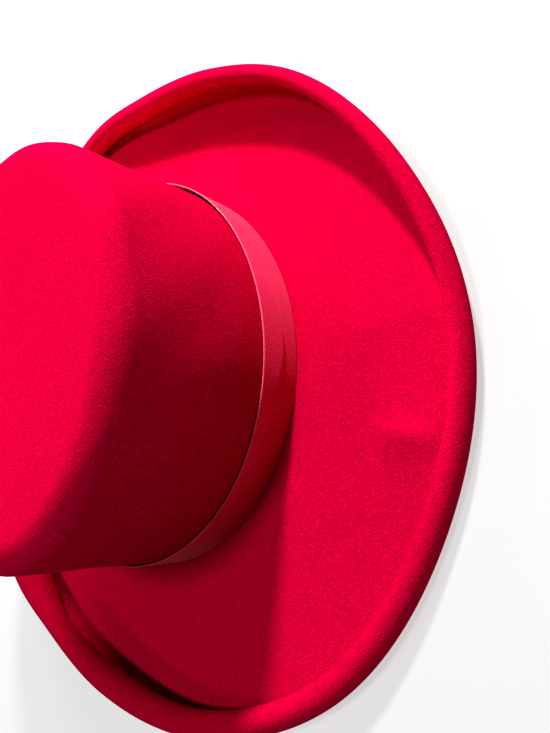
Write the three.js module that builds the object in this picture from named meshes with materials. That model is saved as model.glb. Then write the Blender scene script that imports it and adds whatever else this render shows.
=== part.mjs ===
// A soft wool-felt hat with a low flat-topped crown, a wide brim whose edge is rolled up and
// inwards, and one narrow grosgrain ribbon round the foot of the crown. Units are millimetres.
// +Z is up and the front of the hat looks along -Y. The hat stands brim down on z = 0, with the
// middle of its box over the origin.
//
// Both pieces are rings of sections. A section stands on the outline of the crown's foot and
// lies in the plane of the outline's outward normal, so a point in it has only two numbers:
// "out", its distance outside the foot of the crown wall, and "up", its height over the floor.

import * as THREE from 'three';

const AROUND = 72;              // sections round the hat

// Felt body: crown and brim are blocked from one piece of felt.
const FELT = 2.0;               // thickness of the felt
const CROWN_HALF_WIDTH = 87.0;  // foot of the crown wall, outer face, along X
const CROWN_HALF_LENGTH = 99.5; // the same along Y
const CROWN_HEIGHT = 80.0;      // crown over the top face of the brim
const CROWN_LEAN = 0.3;         // how far the wall leans in between foot and shoulder
const SHOULDER = 10.0;          // radius of the edge between wall and top
const TOP_DISH = 2.0;           // how far the middle of the top lies below its edge
const COVE = 1.0;               // radius of the corner between wall and brim
const FOOT = 5.0;               // height of the brim's top face where it meets the crown
const REST_FLAT = 0.4;          // how far the felt is pressed flat where it rests

// Brim edge, the same number of degrees after each row. The brim turns up and its edge curls
// inwards round a middle line: reach is from the foot of the crown to that line, height the
// line's height over the floor before the felt is pressed flat, and radius the curl's outer
// radius.
const CURL = [
  { turn: 0.0, reach: 68.3, height: 4.5, radius: 4.5 },     // front
  { turn: 22.5, reach: 69.4, height: 6.6, radius: 3.9 },
  { turn: 45.0, reach: 64.2, height: 14.4, radius: 3.5 },
  { turn: 67.5, reach: 58.8, height: 18.4, radius: 3.5 },
  { turn: 90.0, reach: 51.8, height: 18.9, radius: 4.4 },   // +X side
  { turn: 112.5, reach: 50.4, height: 17.0, radius: 5.5 },
  { turn: 135.0, reach: 61.5, height: 12.9, radius: 6.0 },
  { turn: 157.5, reach: 67.0, height: 8.0, radius: 6.0 },
  { turn: 180.0, reach: 68.0, height: 5.5, radius: 5.5 },   // back
  { turn: 202.5, reach: 67.0, height: 7.4, radius: 6.2 },
  { turn: 225.0, reach: 62.5, height: 10.8, radius: 8.0 },
  { turn: 247.5, reach: 55.0, height: 12.6, radius: 10.5 },
  { turn: 270.0, reach: 48.0, height: 18.7, radius: 5.6 },  // -X side
  { turn: 292.5, reach: 52.0, height: 17.4, radius: 6.0 },
  { turn: 315.0, reach: 61.5, height: 14.0, radius: 5.0 },
  { turn: 337.5, reach: 68.7, height: 7.4, radius: 4.8 },
];
const TURN_UP_SPREAD = 0.5;     // how much wider than the curl the turned-up part is, by its height
const CURL_SWEEP = 188;         // degrees from the curl's outermost line over to the cut edge

// Ribbon: one grosgrain band, standing on edge round the foot of the crown.
const RIBBON_WIDTH = 17.0;
const RIBBON_THICK = 1.0;
const RIBBON_LIFT = 0.6;        // lower edge over the brim
const RIBBON_GAP = 0.45;        // clear of the felt along the lower edge
const RIBBON_STAND_OFF = 1.3;   // extra gap of the upper edge at the two sides
const STAND_OFF_FALL = 6;       // how fast that extra gap closes away from the sides, as a power

// Rings of each stretch of the section.
const TOP_SHARES = [0.3, 0.6, 0.85, 1.0];       // of the way from the middle to the shoulder
const BRIM_SHARES = [0.3, 0.6, 0.85];           // of the way from the crown to the turned-up part
const SHOULDER_STEPS = 5;
const COVE_STEPS = 2;
const TURN_UP_STEPS = 5;
const CURL_STEPS = 6;
const RIBBON_SHARES = [0, 0.5, 1];              // of the ribbon's width

const radians = THREE.MathUtils.degToRad;

// The share of the way, eased at both ends.
const eased = (share) => share * share * (3 - 2 * share);

// One column of the curl table at any turn, on a smooth closed curve through the rows.
function curlAt(column, turn) {
  const rows = CURL.length;
  const place = (turn / 360) * rows;
  const first = Math.floor(place);
  const share = place - first;
  const [a, b, c, d] = [-1, 0, 1, 2].map((step) => CURL[(first + step + rows) % rows][column]);
  const bend = 2 * a - 5 * b + 4 * c - d + share * (3 * (b - c) + d - a);
  return b + 0.5 * share * (c - a + share * bend);
}

// A point of a section in space. pull shrinks it towards the crown's axis, for the crown's top.
function placed(turn, { out, up, pull = 1 }) {
  const across = Math.sin(radians(turn));
  const along = -Math.cos(radians(turn));
  const normal = new THREE.Vector2(across / CROWN_HALF_WIDTH, along / CROWN_HALF_LENGTH).normalize();
  const x = CROWN_HALF_WIDTH * across + normal.x * out;
  const y = CROWN_HALF_LENGTH * along + normal.y * out;
  return new THREE.Vector3(x * pull, y * pull, up);
}

// Crown face from the top's middle down to the brim; inset is 0 outside and FELT inside.
function crownFace(inset) {
  const top = FOOT + CROWN_HEIGHT;
  const shoulderHeight = top - SHOULDER;
  const edge = { out: -CROWN_LEAN - SHOULDER, up: top - inset };
  const points = TOP_SHARES.map((share) => {
    const dish = TOP_DISH * (1 - share * share) ** 2;
    return { out: edge.out, up: edge.up - dish, pull: share };
  });
  for (let step = 1; step <= SHOULDER_STEPS; step += 1) {
    const angle = (Math.PI / 2) * (1 - step / SHOULDER_STEPS);
    const radius = SHOULDER - inset;
    points.push({
      out: edge.out + radius * Math.cos(angle),
      up: shoulderHeight + radius * Math.sin(angle),
    });
  }
  for (let step = 0; step <= COVE_STEPS; step += 1) {
    const angle = (Math.PI / 2) * (step / COVE_STEPS);
    const radius = COVE + inset;
    points.push({
      out: COVE - radius * Math.cos(angle),
      up: FOOT + COVE - radius * Math.sin(angle),
    });
  }
  return points;
}

// Brim face from the crown out to the cut edge: level, turned up along a quarter of an oval,
// then curled round. drop is 0 on top and inside, FELT beneath and outside.
function brimFace(turn, drop) {
  const reach = curlAt('reach', turn);
  const height = curlAt('height', turn) - REST_FLAT;
  const radius = curlAt('radius', turn);
  const level = Math.min(height - radius, FOOT - FELT);
  const rise = height - level;
  const spread = radius + TURN_UP_SPREAD * (rise - radius);
  const bend = reach + radius - spread;
  const points = BRIM_SHARES.map((share) => ({
    out: COVE + (bend - COVE) * share,
    up: FOOT + (level + FELT - FOOT) * eased(share) - drop,
  }));
  for (let step = 0; step <= TURN_UP_STEPS; step += 1) {
    const angle = (Math.PI / 2) * (step / TURN_UP_STEPS - 1);
    points.push({
      out: bend + (spread - FELT + drop) * Math.cos(angle),
      up: height + (rise - FELT + drop) * Math.sin(angle),
    });
  }
  for (let step = 1; step <= CURL_STEPS; step += 1) {
    const angle = radians((CURL_SWEEP * step) / CURL_STEPS);
    points.push({
      out: reach + (radius - FELT + drop) * Math.cos(angle),
      up: height + (radius - FELT + drop) * Math.sin(angle),
    });
  }
  return points.map((point) => ({ ...point, up: Math.max(point.up, FELT - drop) }));
}

// Whole section of the felt, from the top's middle outside, round the cut edge, to the inside.
function feltSection(turn) {
  const outside = [...crownFace(0), ...brimFace(turn, 0)];
  const inside = [...crownFace(FELT), ...brimFace(turn, FELT)].reverse();
  return [...outside, ...inside];
}

// Section of the ribbon: down the outer face and up the inner one.
function ribbonSection(turn) {
  const standOff = RIBBON_STAND_OFF * Math.sin(radians(turn)) ** STAND_OFF_FALL;
  const face = (share, outset) => {
    const up = FOOT + RIBBON_LIFT + RIBBON_WIDTH * share;
    const wall = (-CROWN_LEAN * (up - FOOT)) / (CROWN_HEIGHT - SHOULDER);
    return { out: wall + RIBBON_GAP + standOff * share + outset, up };
  };
  const outer = RIBBON_SHARES.map((share) => face(share, RIBBON_THICK)).reverse();
  const inner = RIBBON_SHARES.map((share) => face(share, 0));
  return [...outer, ...inner];
}

const turns = Array.from({ length: AROUND }, (_, index) => (360 * index) / AROUND);

// Closed body through the sections of all turns. Sections that start and end on the crown's
// axis give two poles, [first, last]; without poles each section closes on itself.
function bodyOf(section, poles) {
  const rings = turns.map((turn) => section(turn).map((point) => placed(turn, point)));
  const rows = rings[0].length;
  const corners = rings.flat();
  const at = (ring, row) => (ring % AROUND) * rows + (row % rows);
  const faces = [];
  for (let ring = 0; ring < AROUND; ring += 1) {
    for (let row = 0; row < (poles ? rows - 1 : rows); row += 1) {
      const [a, b] = [at(ring, row), at(ring, row + 1)];
      const [d, c] = [at(ring + 1, row), at(ring + 1, row + 1)];
      faces.push(a, b, c, a, c, d);
    }
    if (poles) {
      faces.push(corners.length, at(ring, 0), at(ring + 1, 0));
      faces.push(at(ring, rows - 1), corners.length + 1, at(ring + 1, rows - 1));
    }
  }
  const all = poles ? [...corners, ...poles] : corners;
  const geometry = new THREE.BufferGeometry();
  geometry.setAttribute('position', new THREE.Float32BufferAttribute(all.flatMap((p) => p.toArray()), 3));
  geometry.setIndex(faces);
  return geometry;
}

function feltBody() {
  const middle = FOOT + CROWN_HEIGHT - TOP_DISH;
  const poles = [new THREE.Vector3(0, 0, middle), new THREE.Vector3(0, 0, middle - FELT)];
  const felt = new THREE.MeshStandardMaterial({ color: '#c4002f', roughness: 0.95, metalness: 0 });
  const mesh = new THREE.Mesh(bodyOf(feltSection, poles), felt);
  mesh.name = 'felt_body';
  return mesh;
}

function ribbonBand() {
  const grosgrain = new THREE.MeshStandardMaterial({ color: '#c81a45', roughness: 0.55, metalness: 0 });
  const mesh = new THREE.Mesh(bodyOf(ribbonSection, null), grosgrain);
  mesh.name = 'ribbon_band';
  return mesh;
}

const hat = new THREE.Group();
hat.add(feltBody(), ribbonBand());
const middle = new THREE.Box3().setFromObject(hat).getCenter(new THREE.Vector3());
hat.position.set(-middle.x, -middle.y, 0);

export default hat;
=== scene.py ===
"""A red wool-felt hat on a pale floor: flat-topped crown, wide brim with its edge rolled up
and inwards, and a narrow grosgrain ribbon round the foot of the crown.

Lengths of the hat are in millimetres until a mesh is made, which turns them into metres.
Both pieces are rings of sections. A section stands on the oval outline of the crown's foot,
in the plane of the outline's outward normal: "out" is the distance outside the foot of the
crown wall and "up" the height over the floor. "turn" is the angle round the crown in degrees,
0 at the front (-Y), 90 at the +X side.
"""

import math

import bpy
import numpy as np
from mathutils import Matrix, Vector


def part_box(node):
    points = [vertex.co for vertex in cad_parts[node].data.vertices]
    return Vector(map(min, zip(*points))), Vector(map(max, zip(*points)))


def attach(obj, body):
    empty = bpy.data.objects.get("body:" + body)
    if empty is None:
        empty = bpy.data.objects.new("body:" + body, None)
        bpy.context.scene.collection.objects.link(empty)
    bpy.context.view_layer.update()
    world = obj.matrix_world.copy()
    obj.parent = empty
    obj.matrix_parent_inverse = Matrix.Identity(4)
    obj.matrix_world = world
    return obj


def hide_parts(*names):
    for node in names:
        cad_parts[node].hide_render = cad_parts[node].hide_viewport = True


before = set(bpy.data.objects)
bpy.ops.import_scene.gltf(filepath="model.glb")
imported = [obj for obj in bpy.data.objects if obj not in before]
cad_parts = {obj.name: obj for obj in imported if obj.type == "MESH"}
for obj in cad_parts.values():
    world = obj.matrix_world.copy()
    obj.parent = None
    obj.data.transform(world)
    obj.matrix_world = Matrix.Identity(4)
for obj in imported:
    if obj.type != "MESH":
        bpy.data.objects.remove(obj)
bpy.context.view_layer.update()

METRES = 0.001  # in a millimetre

# ---------------------------------------------------------------------------------------------
# Sizes
# ---------------------------------------------------------------------------------------------

FELT = 2.0              # thickness of the felt
CROWN_HALF_WIDTH = 87.0
CROWN_HALF_LENGTH = 99.5
CROWN_LEAN = 0.3        # how far the wall leans in between foot and shoulder
SHOULDER = 10.0         # radius of the edge between wall and top
TOP_DISH = 2.0          # how far the middle of the top lies below its edge
COVE = 0.3              # radius of the corner between wall and brim
FOOT = 5.0              # height of the brim's top face where it meets the crown
REST_FLAT = 0.4         # how far the felt is pressed flat where it rests

# One row for every 22.5 degrees from the front. The brim's edge curls inwards round a middle
# line: its reach from the foot of the crown, its height over the floor, the curl's outer radius.
CURL_COLUMNS = {"reach": 0, "height": 1, "radius": 2}
CURL = np.array([
    (68.3, 4.5, 4.5),   # front
    (69.4, 6.6, 3.9),
    (64.2, 14.4, 3.5),
    (58.8, 18.4, 3.5),
    (51.8, 18.9, 4.4),  # +X side
    (50.4, 17.0, 5.5),
    (61.5, 12.9, 6.0),
    (67.0, 8.0, 6.0),
    (68.0, 5.5, 5.5),   # back
    (67.0, 7.4, 6.2),
    (62.5, 10.8, 8.0),
    (55.0, 12.6, 10.5),
    (48.0, 18.7, 5.6),  # -X side
    (52.0, 17.4, 6.0),
    (61.5, 14.0, 5.0),
    (68.7, 7.4, 4.8),
])
TURN_UP_SPREAD = 0.5    # how much wider than the curl the turned-up part is, by its height
CURL_SWEEP = 188        # degrees from the curl's outermost line over to the cut edge
CURL_MORE = 50          # further degrees where the brim turns up high
CURL_MORE_RISE = 6.0    # rise beyond the curl's radius that gives all of those degrees

RIBBON_WIDTH = 17.4
RIBBON_THICK = 0.5
RIBBON_LIFT = 0.05      # lower edge over the brim
RIBBON_GAP = 0.2        # clear of the felt along the lower edge
RIBBON_STAND_OFF = 1.3  # extra gap of the upper edge at the two sides
STAND_OFF_FALL = 6      # how fast that extra gap closes away from the sides, as a power
SELVAGE = 0.3           # radius of the woven edge cords
RIB = 0.75              # from one cross rib of the ribbon to the next

# Sections round the hat, and points along each stretch of a section.
FELT_AROUND = 375
TOP_POINTS = 16
SHOULDER_POINTS = 14
WALL_POINTS = 19
COVE_POINTS = 6
LEVEL_POINTS = 32
TURN_UP_POINTS = 16
CURL_POINTS = 27
RIBBON_AROUND = 900
RIBBON_OUTER_POINTS = 49
RIBBON_INNER_POINTS = 25
SELVAGE_POINTS = 7

# The crown's axis and top come from the frame: the ribbon goes evenly round the crown.
ribbon_low, ribbon_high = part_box("ribbon_band")
_, felt_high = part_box("felt_body")
AXIS = (Vector(ribbon_low) + Vector(ribbon_high)) / 2 / METRES
CROWN_TOP = felt_high[2] / METRES

# ---------------------------------------------------------------------------------------------
# Surfaces
# ---------------------------------------------------------------------------------------------


def eased(share):
    """Share of the way, eased at both ends: 3 s^2 - 2 s^3."""
    return share * share * (3 - 2 * share)


def curl_at(column, turns):
    """A column of the curl table at any turns, on a smooth closed curve (Catmull-Rom) through
    its rows."""
    values = CURL[:, CURL_COLUMNS[column]]
    rows = len(values)
    place = turns / 360 * rows
    first = np.floor(place).astype(int)
    share = place - first
    a, b, c, d = (values[(first + step) % rows] for step in (-1, 0, 1, 2))
    bend = 2 * a - 5 * b + 4 * c - d + share * (3 * (b - c) + d - a)
    return b + 0.5 * share * (c - a + share * bend)


def placed(turns, out, up, pull):
    """Points of sections in space: the oval's point at each turn plus its outward normal times
    "out", shrunk towards the crown's axis by "pull", at height "up"."""
    angle = np.radians(turns)
    across = np.sin(angle)
    along = -np.cos(angle)
    normal_x = across / CROWN_HALF_WIDTH
    normal_y = along / CROWN_HALF_LENGTH
    length = np.hypot(normal_x, normal_y)
    x = (CROWN_HALF_WIDTH * across + normal_x / length * out) * pull + AXIS.x
    y = (CROWN_HALF_LENGTH * along + normal_y / length * out) * pull + AXIS.y
    return np.stack([x, y, up + 0 * x], axis=-1)


def closed_mesh(name, points, poles=None, uv=None):
    """A closed body from a grid of points, rings by rows. Rings join up all round. With two
    poles the rows end on them; without, each section closes on itself."""
    rings, rows = points.shape[:2]
    flat = points.reshape(-1, 3)
    ring = np.arange(rings)[:, None]
    row = np.arange(rows - 1 if poles is not None else rows)[None, :]
    after = (ring + 1) % rings
    below = (row + 1) % rows
    quads = np.stack([ring * rows + row, ring * rows + below, after * rows + below,
                      after * rows + row], axis=-1).reshape(-1, 4)
    faces = quads.tolist()
    if poles is not None:
        top = len(flat)
        bottom = top + 1
        flat = np.concatenate([flat, poles])
        first = np.arange(rings) * rows
        then = (np.arange(rings) + 1) % rings * rows
        faces += np.stack([np.full(rings, top), first, then], axis=-1).tolist()
        last = first + rows - 1
        faces += np.stack([last, np.full(rings, bottom), then + rows - 1], axis=-1).tolist()
    mesh = bpy.data.meshes.new(name)
    mesh.from_pydata((flat * METRES).tolist(), [], faces)
    mesh.polygons.foreach_set("use_smooth", np.ones(len(mesh.polygons), dtype=bool))
    if uv is not None:
        corner_uv(mesh, uv, rings, rows)
    mesh.update()
    piece = bpy.data.objects.new(name, mesh)
    bpy.context.scene.collection.objects.link(piece)
    return piece


def corner_uv(mesh, uv, rings, rows):
    """UV map of a grid without poles: u from the ring, with a full last step at the seam."""
    along, across = uv
    corners = np.empty(len(mesh.loops), dtype=np.int64)
    mesh.loops.foreach_get("vertex_index", corners)
    ring, row = corners // rows, corners % rows
    face_first = ring.reshape(-1, 4)[:, :1]
    at_seam = (face_first == rings - 1) & (ring.reshape(-1, 4) == 0)
    u = along[ring] + at_seam.reshape(-1) * along[-1] * rings / (rings - 1)
    layer = mesh.uv_layers.new(name="UVMap")
    layer.data.foreach_set("uv", np.stack([u, across[row]], axis=-1).reshape(-1).astype(np.float32))


# ---------------------------------------------------------------------------------------------
# Felt body
# ---------------------------------------------------------------------------------------------

TOP_START = 0.06        # first ring of the top, as a share of the way to the shoulder
BRIM_REACH_UP = 20.0    # the brim and its edge stay below this height over its top face

# A short radial crease in the front of the brim: its turn, where it starts and ends outside the
# crown, its height, and the distances over which it falls off to each side. skew, over 1, moves
# its highest point outwards, and fullness, under 1, blunts its ends.
CREASE = {"turn": 9.6, "from": 34.0, "to": 63.0, "height": 2.8, "fall_left": 11.0,
          "fall_right": 5.0, "skew": 1.5, "fullness": 0.8}

# Slow waves of the soft wall, two trains multiplied: the height over the floor where they start
# and the height over which they grow, their depth, how many of the first train go round and how
# it slants, and the same two for the second. A slant is the height for one radian of a wave.
SWAY = {"from": 26.0, "ease": 12.0, "depth": 0.5, "first": 8, "first_slant": 13.0, "second": 5,
        "second_slant": 17.0}


def crown_face(inset):
    """Crown face from the top's middle down to the brim, as (out, up, pull): a dished flat, a
    quarter circle for the shoulder, a straight wall and a quarter circle at the foot."""
    shares = np.linspace(TOP_START, 1.0, TOP_POINTS)
    edge_out = -CROWN_LEAN - SHOULDER
    dish = TOP_DISH * (1 - shares**2) ** 2
    top = np.stack([np.full_like(shares, edge_out), CROWN_TOP - inset - dish, shares], axis=-1)
    angle = np.radians(np.linspace(90, 0, SHOULDER_POINTS + 1)[1:])
    radius = SHOULDER - inset
    shoulder = np.stack([edge_out + radius * np.cos(angle),
                         CROWN_TOP - SHOULDER + radius * np.sin(angle), np.ones_like(angle)], axis=-1)
    fall = np.linspace(0, 1, WALL_POINTS + 2)[1:-1]
    wall_up = CROWN_TOP - SHOULDER + (FOOT + COVE - CROWN_TOP + SHOULDER) * fall
    wall = np.stack([-CROWN_LEAN * (1 - fall) - inset, wall_up, np.ones_like(fall)], axis=-1)
    angle = np.radians(np.linspace(0, 90, COVE_POINTS))
    radius = COVE + inset
    cove = np.stack([COVE - radius * np.cos(angle), FOOT + COVE - radius * np.sin(angle),
                     np.ones_like(angle)], axis=-1)
    return np.concatenate([top, shoulder, wall, cove])


def brim_face(turns, drop):
    """Brim face from the crown out to the cut edge, as arrays of out and up: level, turned up
    along a quarter of an oval, then curled round a circle. drop is 0 on top and inside, FELT
    beneath and outside."""
    reach = curl_at("reach", turns)
    height = curl_at("height", turns) - REST_FLAT
    radius = curl_at("radius", turns)
    level = np.minimum(height - radius, FOOT - FELT)
    rise = height - level
    spread = radius + TURN_UP_SPREAD * (rise - radius)
    bend = reach + radius - spread
    shares = np.linspace(0, 1, LEVEL_POINTS + 2)[None, 1:-1]
    flat_out = COVE + (bend - COVE) * shares
    flat_up = FOOT + (level + FELT - FOOT) * eased(shares) - drop
    angle = np.radians(np.linspace(-90, 0, TURN_UP_POINTS))[None, :]
    rise_out = bend + (spread - FELT + drop) * np.cos(angle)
    rise_up = height + (rise - FELT + drop) * np.sin(angle)
    sweep = CURL_SWEEP + CURL_MORE * np.clip((rise - radius) / CURL_MORE_RISE, 0, 1)
    angle = np.radians(sweep * np.linspace(0, 1, CURL_POINTS + 1)[None, 1:])
    curl_out = reach + (radius - FELT + drop) * np.cos(angle)
    curl_up = height + (radius - FELT + drop) * np.sin(angle)
    out = np.concatenate([flat_out, rise_out, curl_out], axis=1)
    up = np.concatenate([flat_up, rise_up, curl_up], axis=1)
    return out, np.maximum(up, FELT - drop)


def felt_side(turns, inset):
    """One side of the felt, outer or inner, from the middle of the top to the cut edge."""
    crown = crown_face(inset)
    brim_out, brim_up = brim_face(turns, inset)
    spread = np.ones_like(turns)
    out = np.concatenate([crown[None, :, 0] * spread, brim_out], axis=1)
    up = np.concatenate([crown[None, :, 1] * spread, brim_up], axis=1)
    pull = np.concatenate([crown[None, :, 2] * spread, np.ones_like(brim_out)], axis=1)
    return out, up, pull


def brim_crease(turns, out):
    """Height of the short radial crease in the front of the brim: a ridge that falls off
    exponentially to each side and eases away at both ends."""
    size = (CROWN_HALF_WIDTH + CROWN_HALF_LENGTH) / 2 + out
    aside = np.radians((turns - CREASE["turn"] + 180) % 360 - 180) * size
    fall = np.where(aside < 0, CREASE["fall_left"], CREASE["fall_right"])
    along = np.clip((out - CREASE["from"]) / (CREASE["to"] - CREASE["from"]), 0, 1)
    ends = np.sin(math.pi * along ** CREASE["skew"]) ** CREASE["fullness"]
    return CREASE["height"] * np.exp(-np.abs(aside) / fall) * ends


def wall_sway(turns, up):
    """How far the soft wall sways out and in above the ribbon: the product of two sines that
    slant round the crown, eased in over the lowest stretch."""
    first = np.sin(np.radians(SWAY["first"] * turns) + up / SWAY["first_slant"])
    second = np.sin(np.radians(SWAY["second"] * turns) + up / SWAY["second_slant"])
    return SWAY["depth"] * eased(np.clip((up - SWAY["from"]) / SWAY["ease"], 0, 1)) * first * second


def felt_body():
    """The felt: outer side, rounded cut edge, and inner side, as one closed wall."""
    turns = (np.arange(FELT_AROUND) * 360 / FELT_AROUND)[:, None]
    outer = felt_side(turns, 0.0)
    inner = felt_side(turns, FELT)
    out, up, pull = (np.concatenate([a, b[:, ::-1]], axis=1) for a, b in zip(outer, inner))
    out = out + wall_sway(turns, up)
    on_brim = (out > COVE) & (up < FOOT + BRIM_REACH_UP)
    up = up + np.where(on_brim, brim_crease(turns, out), 0)
    points = placed(turns, out, up, pull)
    middle = CROWN_TOP - TOP_DISH
    poles = np.array([(AXIS.x, AXIS.y, middle), (AXIS.x, AXIS.y, middle - FELT)])
    return closed_mesh("felt_hat", points, poles=poles)


# ---------------------------------------------------------------------------------------------
# Ribbon
# ---------------------------------------------------------------------------------------------

SELVAGE_WRAP = 56       # degrees of an edge cord to each side of its outermost line
FLAT_START = 0.04       # where the flat of the ribbon starts, as a share of its width

# A lengthwise pucker in front, between two turns: its crest lies at a share of the ribbon's
# width that is lowest at one turn and rises by rise_front and rise_side to the two ends. It falls
# off over sharp_side below the crest and soft_side above it, and hem is how it ends at the edges:
# 0 stops it short there, 1 lets it fade.
PUCKER = {"from": 8.0, "to": 46.0, "depth": 0.45, "lowest_turn": 26.0, "lowest": 0.44,
          "rise_front": 0.40, "rise_side": 0.08, "sharp_side": 0.045, "soft_side": 0.25, "hem": 0.5}


def ribbon_section():
    """Closed outline of the ribbon's section, as (across, thick) with across from 0 at the lower
    edge to 1 at the upper one: a flat strip with a round cord along each edge."""
    half = RIBBON_THICK / 2
    cord = SELVAGE / RIBBON_WIDTH
    angle = np.radians(np.linspace(SELVAGE_WRAP, -SELVAGE_WRAP, SELVAGE_POINTS))
    upper = np.stack([1 - cord + cord * np.cos(angle), SELVAGE * np.sin(angle)], axis=-1)
    angle = np.radians(np.linspace(SELVAGE_WRAP - 180, -SELVAGE_WRAP - 180, SELVAGE_POINTS))
    lower = np.stack([cord + cord * np.cos(angle), SELVAGE * np.sin(angle)], axis=-1)
    flat = np.linspace(FLAT_START, 1 - FLAT_START, RIBBON_OUTER_POINTS)
    outer = np.stack([flat, np.full_like(flat, half)], axis=-1)
    flat = np.linspace(1 - FLAT_START, FLAT_START, RIBBON_INNER_POINTS)
    inner = np.stack([flat, np.full_like(flat, -half)], axis=-1)
    return np.concatenate([outer, upper, inner, lower])[::-1]


def pucker(turns, across):
    """How far the ribbon stands out along its pucker: a steep rise just below the crest, an
    exponential fall above it, eased away at both ends."""
    share = np.clip((turns - PUCKER["from"]) / (PUCKER["to"] - PUCKER["from"]), 0, 1)
    aside = turns - PUCKER["lowest_turn"]
    front = PUCKER["rise_front"] * (aside / (PUCKER["from"] - PUCKER["lowest_turn"])) ** 2
    side = PUCKER["rise_side"] * (aside / (PUCKER["to"] - PUCKER["lowest_turn"])) ** 2
    over = across - PUCKER["lowest"] - np.where(aside < 0, front, side)
    fall = np.where(over < 0, PUCKER["sharp_side"], PUCKER["soft_side"])
    hem = np.sin(math.pi * np.clip(across, 0, 1)) ** PUCKER["hem"]
    return PUCKER["depth"] * np.exp(-np.abs(over) / fall) * np.sin(math.pi * share) * hem


def ribbon_band():
    """The ribbon: its section carried round the crown. It leans away from the wall towards its
    upper edge at the two sides."""
    turns = (np.arange(RIBBON_AROUND) * 360 / RIBBON_AROUND)[:, None]
    section = ribbon_section()
    across = section[None, :, 0]
    thick = section[None, :, 1]
    up = FOOT + RIBBON_LIFT + RIBBON_WIDTH * across
    wall = -CROWN_LEAN * (up - FOOT) / (CROWN_TOP - FOOT - SHOULDER)
    lean = RIBBON_STAND_OFF * np.sin(np.radians(turns)) ** STAND_OFF_FALL * across
    out = wall + RIBBON_GAP + SELVAGE + lean + thick + pucker(turns, across)
    points = placed(turns, out, up + 0 * out, 1.0)
    ring = points[:, 0]
    steps = np.linalg.norm(np.roll(ring, -1, axis=0) - ring, axis=1)
    along = np.concatenate([[0], np.cumsum(steps)[:-1]]) * METRES
    return closed_mesh("grosgrain_ribbon", points, uv=(along, section[:, 0] * RIBBON_WIDTH * METRES))


# ---------------------------------------------------------------------------------------------
# Materials
# ---------------------------------------------------------------------------------------------

# Scales are grains to the metre, details the finer layers of the same noise, depths in metres,
# strengths and shares from 0 to 1, and colours red, green and blue.
NAP = {"scale": 1600, "detail": 3, "depth": 0.0005, "strength": 0.6}
MOTTLE = {"scale": 450, "detail": 3, "share": 0.26}
FIBRE_ENDS = {"scale": 1700, "detail": 1, "from": 0.70, "full": 0.78, "share": 0.5}
FELT_DARK = (0.41, 0.0003, 0.044)
FELT_LIGHT = (0.64, 0.0010, 0.068)
FELT_FIBRE = (0.95, 0.04, 0.14)
FELT_SPAN = (0.34, 0.66)        # stretch of the noise that goes from dark to light
FELT_FINISH = {"Roughness": 1.0, "Specular IOR Level": 0.0}

RIB_BUMP = {"depth": 0.00015, "strength": 0.6}
RIB_WOBBLE = {"Distortion": 0.6, "Detail Scale": 400}
WAVE_TURN = math.pi / 10        # length of one wave of the wave texture at scale 1, in metres
# Colour of the cross ribs, on the same wave as their bumps: painted highlight on the rib tops and
# painted shade in the grooves between them.
RIB_GROOVE_PAINTED_SHADE = (0.70, 0.014, 0.115)
RIB_TOP_PAINTED_HIGHLIGHT = (0.93, 0.045, 0.19)
RIB_SPAN = (0.1, 0.9)

# A painted highlight along each edge cord, where the cords catch the light, full along the upper
# edge and faint along the lower: where it is full and where it has faded out, as shares of the
# ribbon's width from the lower edge, and how strongly it shows.
EDGE_HIGHLIGHT_COLOUR = (0.97, 0.12, 0.20)
LOWER_EDGE_HIGHLIGHT = {"full": 0.025, "faded": 0.04, "share": 0.35}
UPPER_EDGE_HIGHLIGHT = {"faded": 0.962, "full": 0.975, "share": 1.0}
RIBBON_FINISH = {"Roughness": 0.45, "Sheen Weight": 0.5, "Sheen Roughness": 0.4,
                 "Sheen Tint": (1, 0.62, 0.70, 1)}


def give(node, values):
    """Sets the named inputs of a node."""
    for name, value in values.items():
        node.inputs[name].default_value = value


def new_material(name, finish):
    """A new material with its main shader set to the finish."""
    material = bpy.data.materials.new(name)
    material.use_nodes = True
    nodes = material.node_tree.nodes
    shader = nodes["Principled BSDF"]
    give(shader, finish)
    return material, nodes, material.node_tree.links, shader


def noise_of(nodes, links, grain):
    """Noise that fills the space of the piece, from 0 to 1."""
    place = nodes.new("ShaderNodeTexCoord")
    noise = nodes.new("ShaderNodeTexNoise")
    give(noise, {"Scale": grain["scale"], "Detail": grain["detail"]})
    links.new(place.outputs["Object"], noise.inputs["Vector"])
    return noise.outputs["Fac"]


def ramp_of(nodes, links, value, stops):
    """A colour ramp with stops of (position, colour)."""
    ramp = nodes.new("ShaderNodeValToRGB")
    elements = ramp.color_ramp.elements
    while len(elements) < len(stops):
        elements.new(0.5)
    for element, (position, colour) in zip(elements, stops):
        element.position = position
        element.color = (*colour, 1)
    links.new(value, ramp.inputs["Fac"])
    return ramp.outputs["Color"]


def mixed(nodes, links, share, first, second):
    """Two colours or values mixed; each argument is a socket or a value."""
    mix = nodes.new("ShaderNodeMix")
    mix.data_type = "RGBA"
    factor, colour_a, colour_b = mix.inputs[0], mix.inputs[6], mix.inputs[7]
    for socket, value in ((factor, share), (colour_a, first), (colour_b, second)):
        if isinstance(value, bpy.types.NodeSocket):
            links.new(value, socket)
        else:
            socket.default_value = value
    return mix.outputs[2]


def bumped(nodes, links, shader, height, relief):
    """Gives the shader small bumps that follow a height."""
    bump = nodes.new("ShaderNodeBump")
    give(bump, {"Distance": relief["depth"], "Strength": relief["strength"]})
    links.new(height, bump.inputs["Height"])
    links.new(bump.outputs["Normal"], shader.inputs["Normal"])


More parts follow.
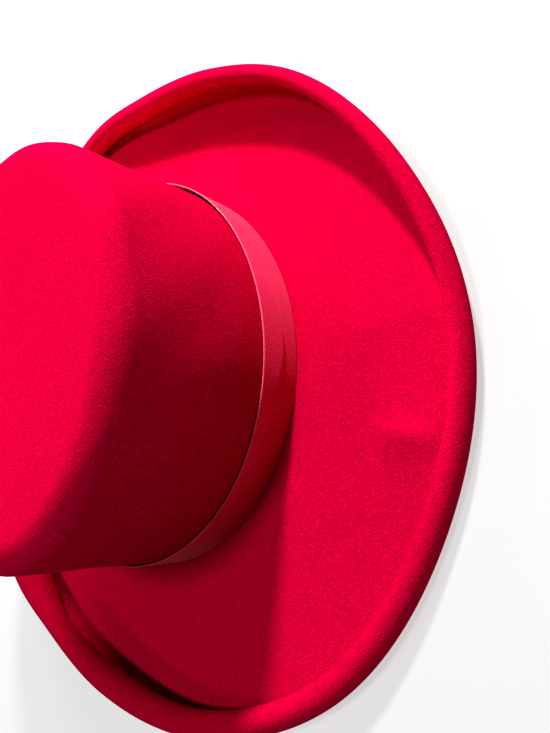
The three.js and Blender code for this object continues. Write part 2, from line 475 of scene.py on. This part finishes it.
def felt_material():
    """Red wool felt: a fine nap with faint larger mottling and a few pale fibre ends."""
    material, nodes, links, shader = new_material("red_wool_felt", FELT_FINISH)
    nap = noise_of(nodes, links, NAP)
    mottle = noise_of(nodes, links, MOTTLE)
    fibres = noise_of(nodes, links, FIBRE_ENDS)
    both = mixed(nodes, links, MOTTLE["share"], nap, mottle)
    cloth = ramp_of(nodes, links, both, list(zip(FELT_SPAN, (FELT_DARK, FELT_LIGHT))))
    pale = ramp_of(nodes, links, fibres, [(FIBRE_ENDS["from"], (0, 0, 0)),
                                          (FIBRE_ENDS["full"], (FIBRE_ENDS["share"],) * 3)])
    colour = mixed(nodes, links, pale, cloth, (*FELT_FIBRE, 1))
    links.new(colour, shader.inputs["Base Color"])
    bumped(nodes, links, shader, nap, NAP)
    return material


def ribbon_material():
    """Red grosgrain with a satin sheen: fine cross ribbing, painted lighter on the rib tops as
    highlight and darker in the grooves as painted shade, and a painted highlight along each edge
    cord.
    """
    material, nodes, links, shader = new_material("red_grosgrain", RIBBON_FINISH)
    uv = nodes.new("ShaderNodeUVMap")
    uv.uv_map = "UVMap"
    wave = nodes.new("ShaderNodeTexWave")
    wave.wave_profile = "SIN"
    give(wave, {"Scale": WAVE_TURN / (RIB * METRES), **RIB_WOBBLE})
    links.new(uv.outputs["UV"], wave.inputs["Vector"])
    # Painted highlight on the rib tops and painted shade in the grooves.
    rib_highlight_and_shade = ramp_of(nodes, links, wave.outputs["Fac"], list(zip(RIB_SPAN, (RIB_GROOVE_PAINTED_SHADE, RIB_TOP_PAINTED_HIGHLIGHT))))
    split = nodes.new("ShaderNodeSeparateXYZ")
    links.new(uv.outputs["UV"], split.inputs["Vector"])
    width = nodes.new("ShaderNodeMapRange")
    give(width, {"From Max": RIBBON_WIDTH * METRES})
    links.new(split.outputs["Y"], width.inputs["Value"])
    # Painted highlight along the edge cords, full along the upper edge and faint along the lower.
    edge_highlight = ramp_of(nodes, links, width.outputs["Result"],
                    [(LOWER_EDGE_HIGHLIGHT["full"], (LOWER_EDGE_HIGHLIGHT["share"],) * 3),
                     (LOWER_EDGE_HIGHLIGHT["faded"], (0, 0, 0)), (UPPER_EDGE_HIGHLIGHT["faded"], (0, 0, 0)),
                     (UPPER_EDGE_HIGHLIGHT["full"], (UPPER_EDGE_HIGHLIGHT["share"],) * 3)])
    colour = mixed(nodes, links, edge_highlight, rib_highlight_and_shade, (*EDGE_HIGHLIGHT_COLOUR, 1))
    links.new(colour, shader.inputs["Base Color"])
    bumped(nodes, links, shader, wave.outputs["Fac"], RIB_BUMP)
    return material


# ---------------------------------------------------------------------------------------------
# Floor, light and camera
# ---------------------------------------------------------------------------------------------

FLOOR_HALF = 4000       # from the middle of the floor to its edge
FLOOR_FINISH = {"Base Color": (0.2, 0.2, 0.2, 1), "Roughness": 0.9,
                "Emission Color": (1, 1, 1, 1), "Emission Strength": 0.45}


def floor():
    """A level pale floor that glows faintly."""
    half = FLOOR_HALF * METRES
    mesh = bpy.data.meshes.new("floor")
    mesh.from_pydata([(-half, -half, 0), (half, -half, 0), (half, half, 0), (-half, half, 0)], [],
                     [(0, 1, 2, 3)])
    plane = bpy.data.objects.new("floor", mesh)
    bpy.context.scene.collection.objects.link(plane)
    mesh.materials.append(new_material("pale_floor", FLOOR_FINISH)[0])


# Lamps, with places and sizes in millimetres and places from the middle of the crown's foot,
# which they all face: a small bright one at the +X side, a little behind the middle, a soft one
# overhead, and two weak ones behind the hat.
LAMPS = {
    "key": {"place": (877, 186, 547), "size": 110, "watts": 13.8},
    "overhead": {"place": (110, -20, 1900), "size": 420, "watts": 13.3},
    "back": {"place": (385, 655, 247), "size": 240, "watts": 4.2},
    "back_left": {"place": (-961, 448, 1061), "size": 320, "watts": 2.8},
}
SKY = 0.01  # strength of the light from all round


def lights():
    """A faint even sky, and the lamps as discs."""
    world = bpy.data.worlds.new("studio")
    bpy.context.scene.world = world
    world.use_nodes = True
    sky = world.node_tree.nodes["Background"]
    sky.inputs["Color"].default_value = (1, 1, 1, 1)
    sky.inputs["Strength"].default_value = SKY
    target = Vector((AXIS.x, AXIS.y, FOOT)) * METRES
    for name, row in LAMPS.items():
        lamp = bpy.data.lights.new(name, "AREA")
        lamp.shape = "DISK"
        lamp.size = row["size"] * METRES
        lamp.energy = row["watts"]
        stand = bpy.data.objects.new(name, lamp)
        towards = Vector(row["place"]) * METRES
        stand.location = target + towards
        stand.rotation_euler = towards.to_track_quat("Z", "Y").to_euler()
        bpy.context.scene.collection.objects.link(stand)


# The camera looks down at the front of the brim and is rolled until the crown points to the
# left. Lengths are in millimetres and angles in degrees. The aim is measured from the crown's
# axis at the floor, and nothing nearer than "nearest" is drawn.
CAMERA = {"aim": (27.2, -82.5, 5.0), "distance": 242.4, "azimuth": 8.72, "elevation": 43.97,
          "roll": 78.81, "lens": 30.06, "sensor": 36, "nearest": 10}


def camera():
    """The camera at its distance from the aim, rolled about its line of sight."""
    azimuth = math.radians(CAMERA["azimuth"])
    elevation = math.radians(CAMERA["elevation"])
    back = Vector((math.sin(azimuth) * math.cos(elevation), -math.cos(azimuth) * math.cos(elevation),
                   math.sin(elevation)))
    lens = bpy.data.cameras.new("camera")
    lens.lens = CAMERA["lens"]
    lens.sensor_width = CAMERA["sensor"]
    lens.clip_start = CAMERA["nearest"] * METRES
    eye = bpy.data.objects.new("camera", lens)
    turn = back.to_track_quat("Z", "Y").to_matrix().to_4x4()
    turn = turn @ Matrix.Rotation(-math.radians(CAMERA["roll"]), 4, "Z")
    aim = Vector((AXIS.x, AXIS.y, 0)) + Vector(CAMERA["aim"])
    spot = (aim + back * CAMERA["distance"]) * METRES
    eye.matrix_world = Matrix.Translation(spot) @ turn
    bpy.context.scene.collection.objects.link(eye)
    bpy.context.scene.camera = eye


# ---------------------------------------------------------------------------------------------
# The hat
# ---------------------------------------------------------------------------------------------

camera()
lights()
floor()

hat = felt_body()
hat.data.materials.append(felt_material())
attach(hat, "root")
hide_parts("felt_body")

ribbon = ribbon_band()
ribbon.data.materials.append(ribbon_material())
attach(ribbon, "root")
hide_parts("ribbon_band")

bpy.context.scene.view_settings.view_transform = "Standard"
bpy.context.scene.view_settings.look = "High Contrast"
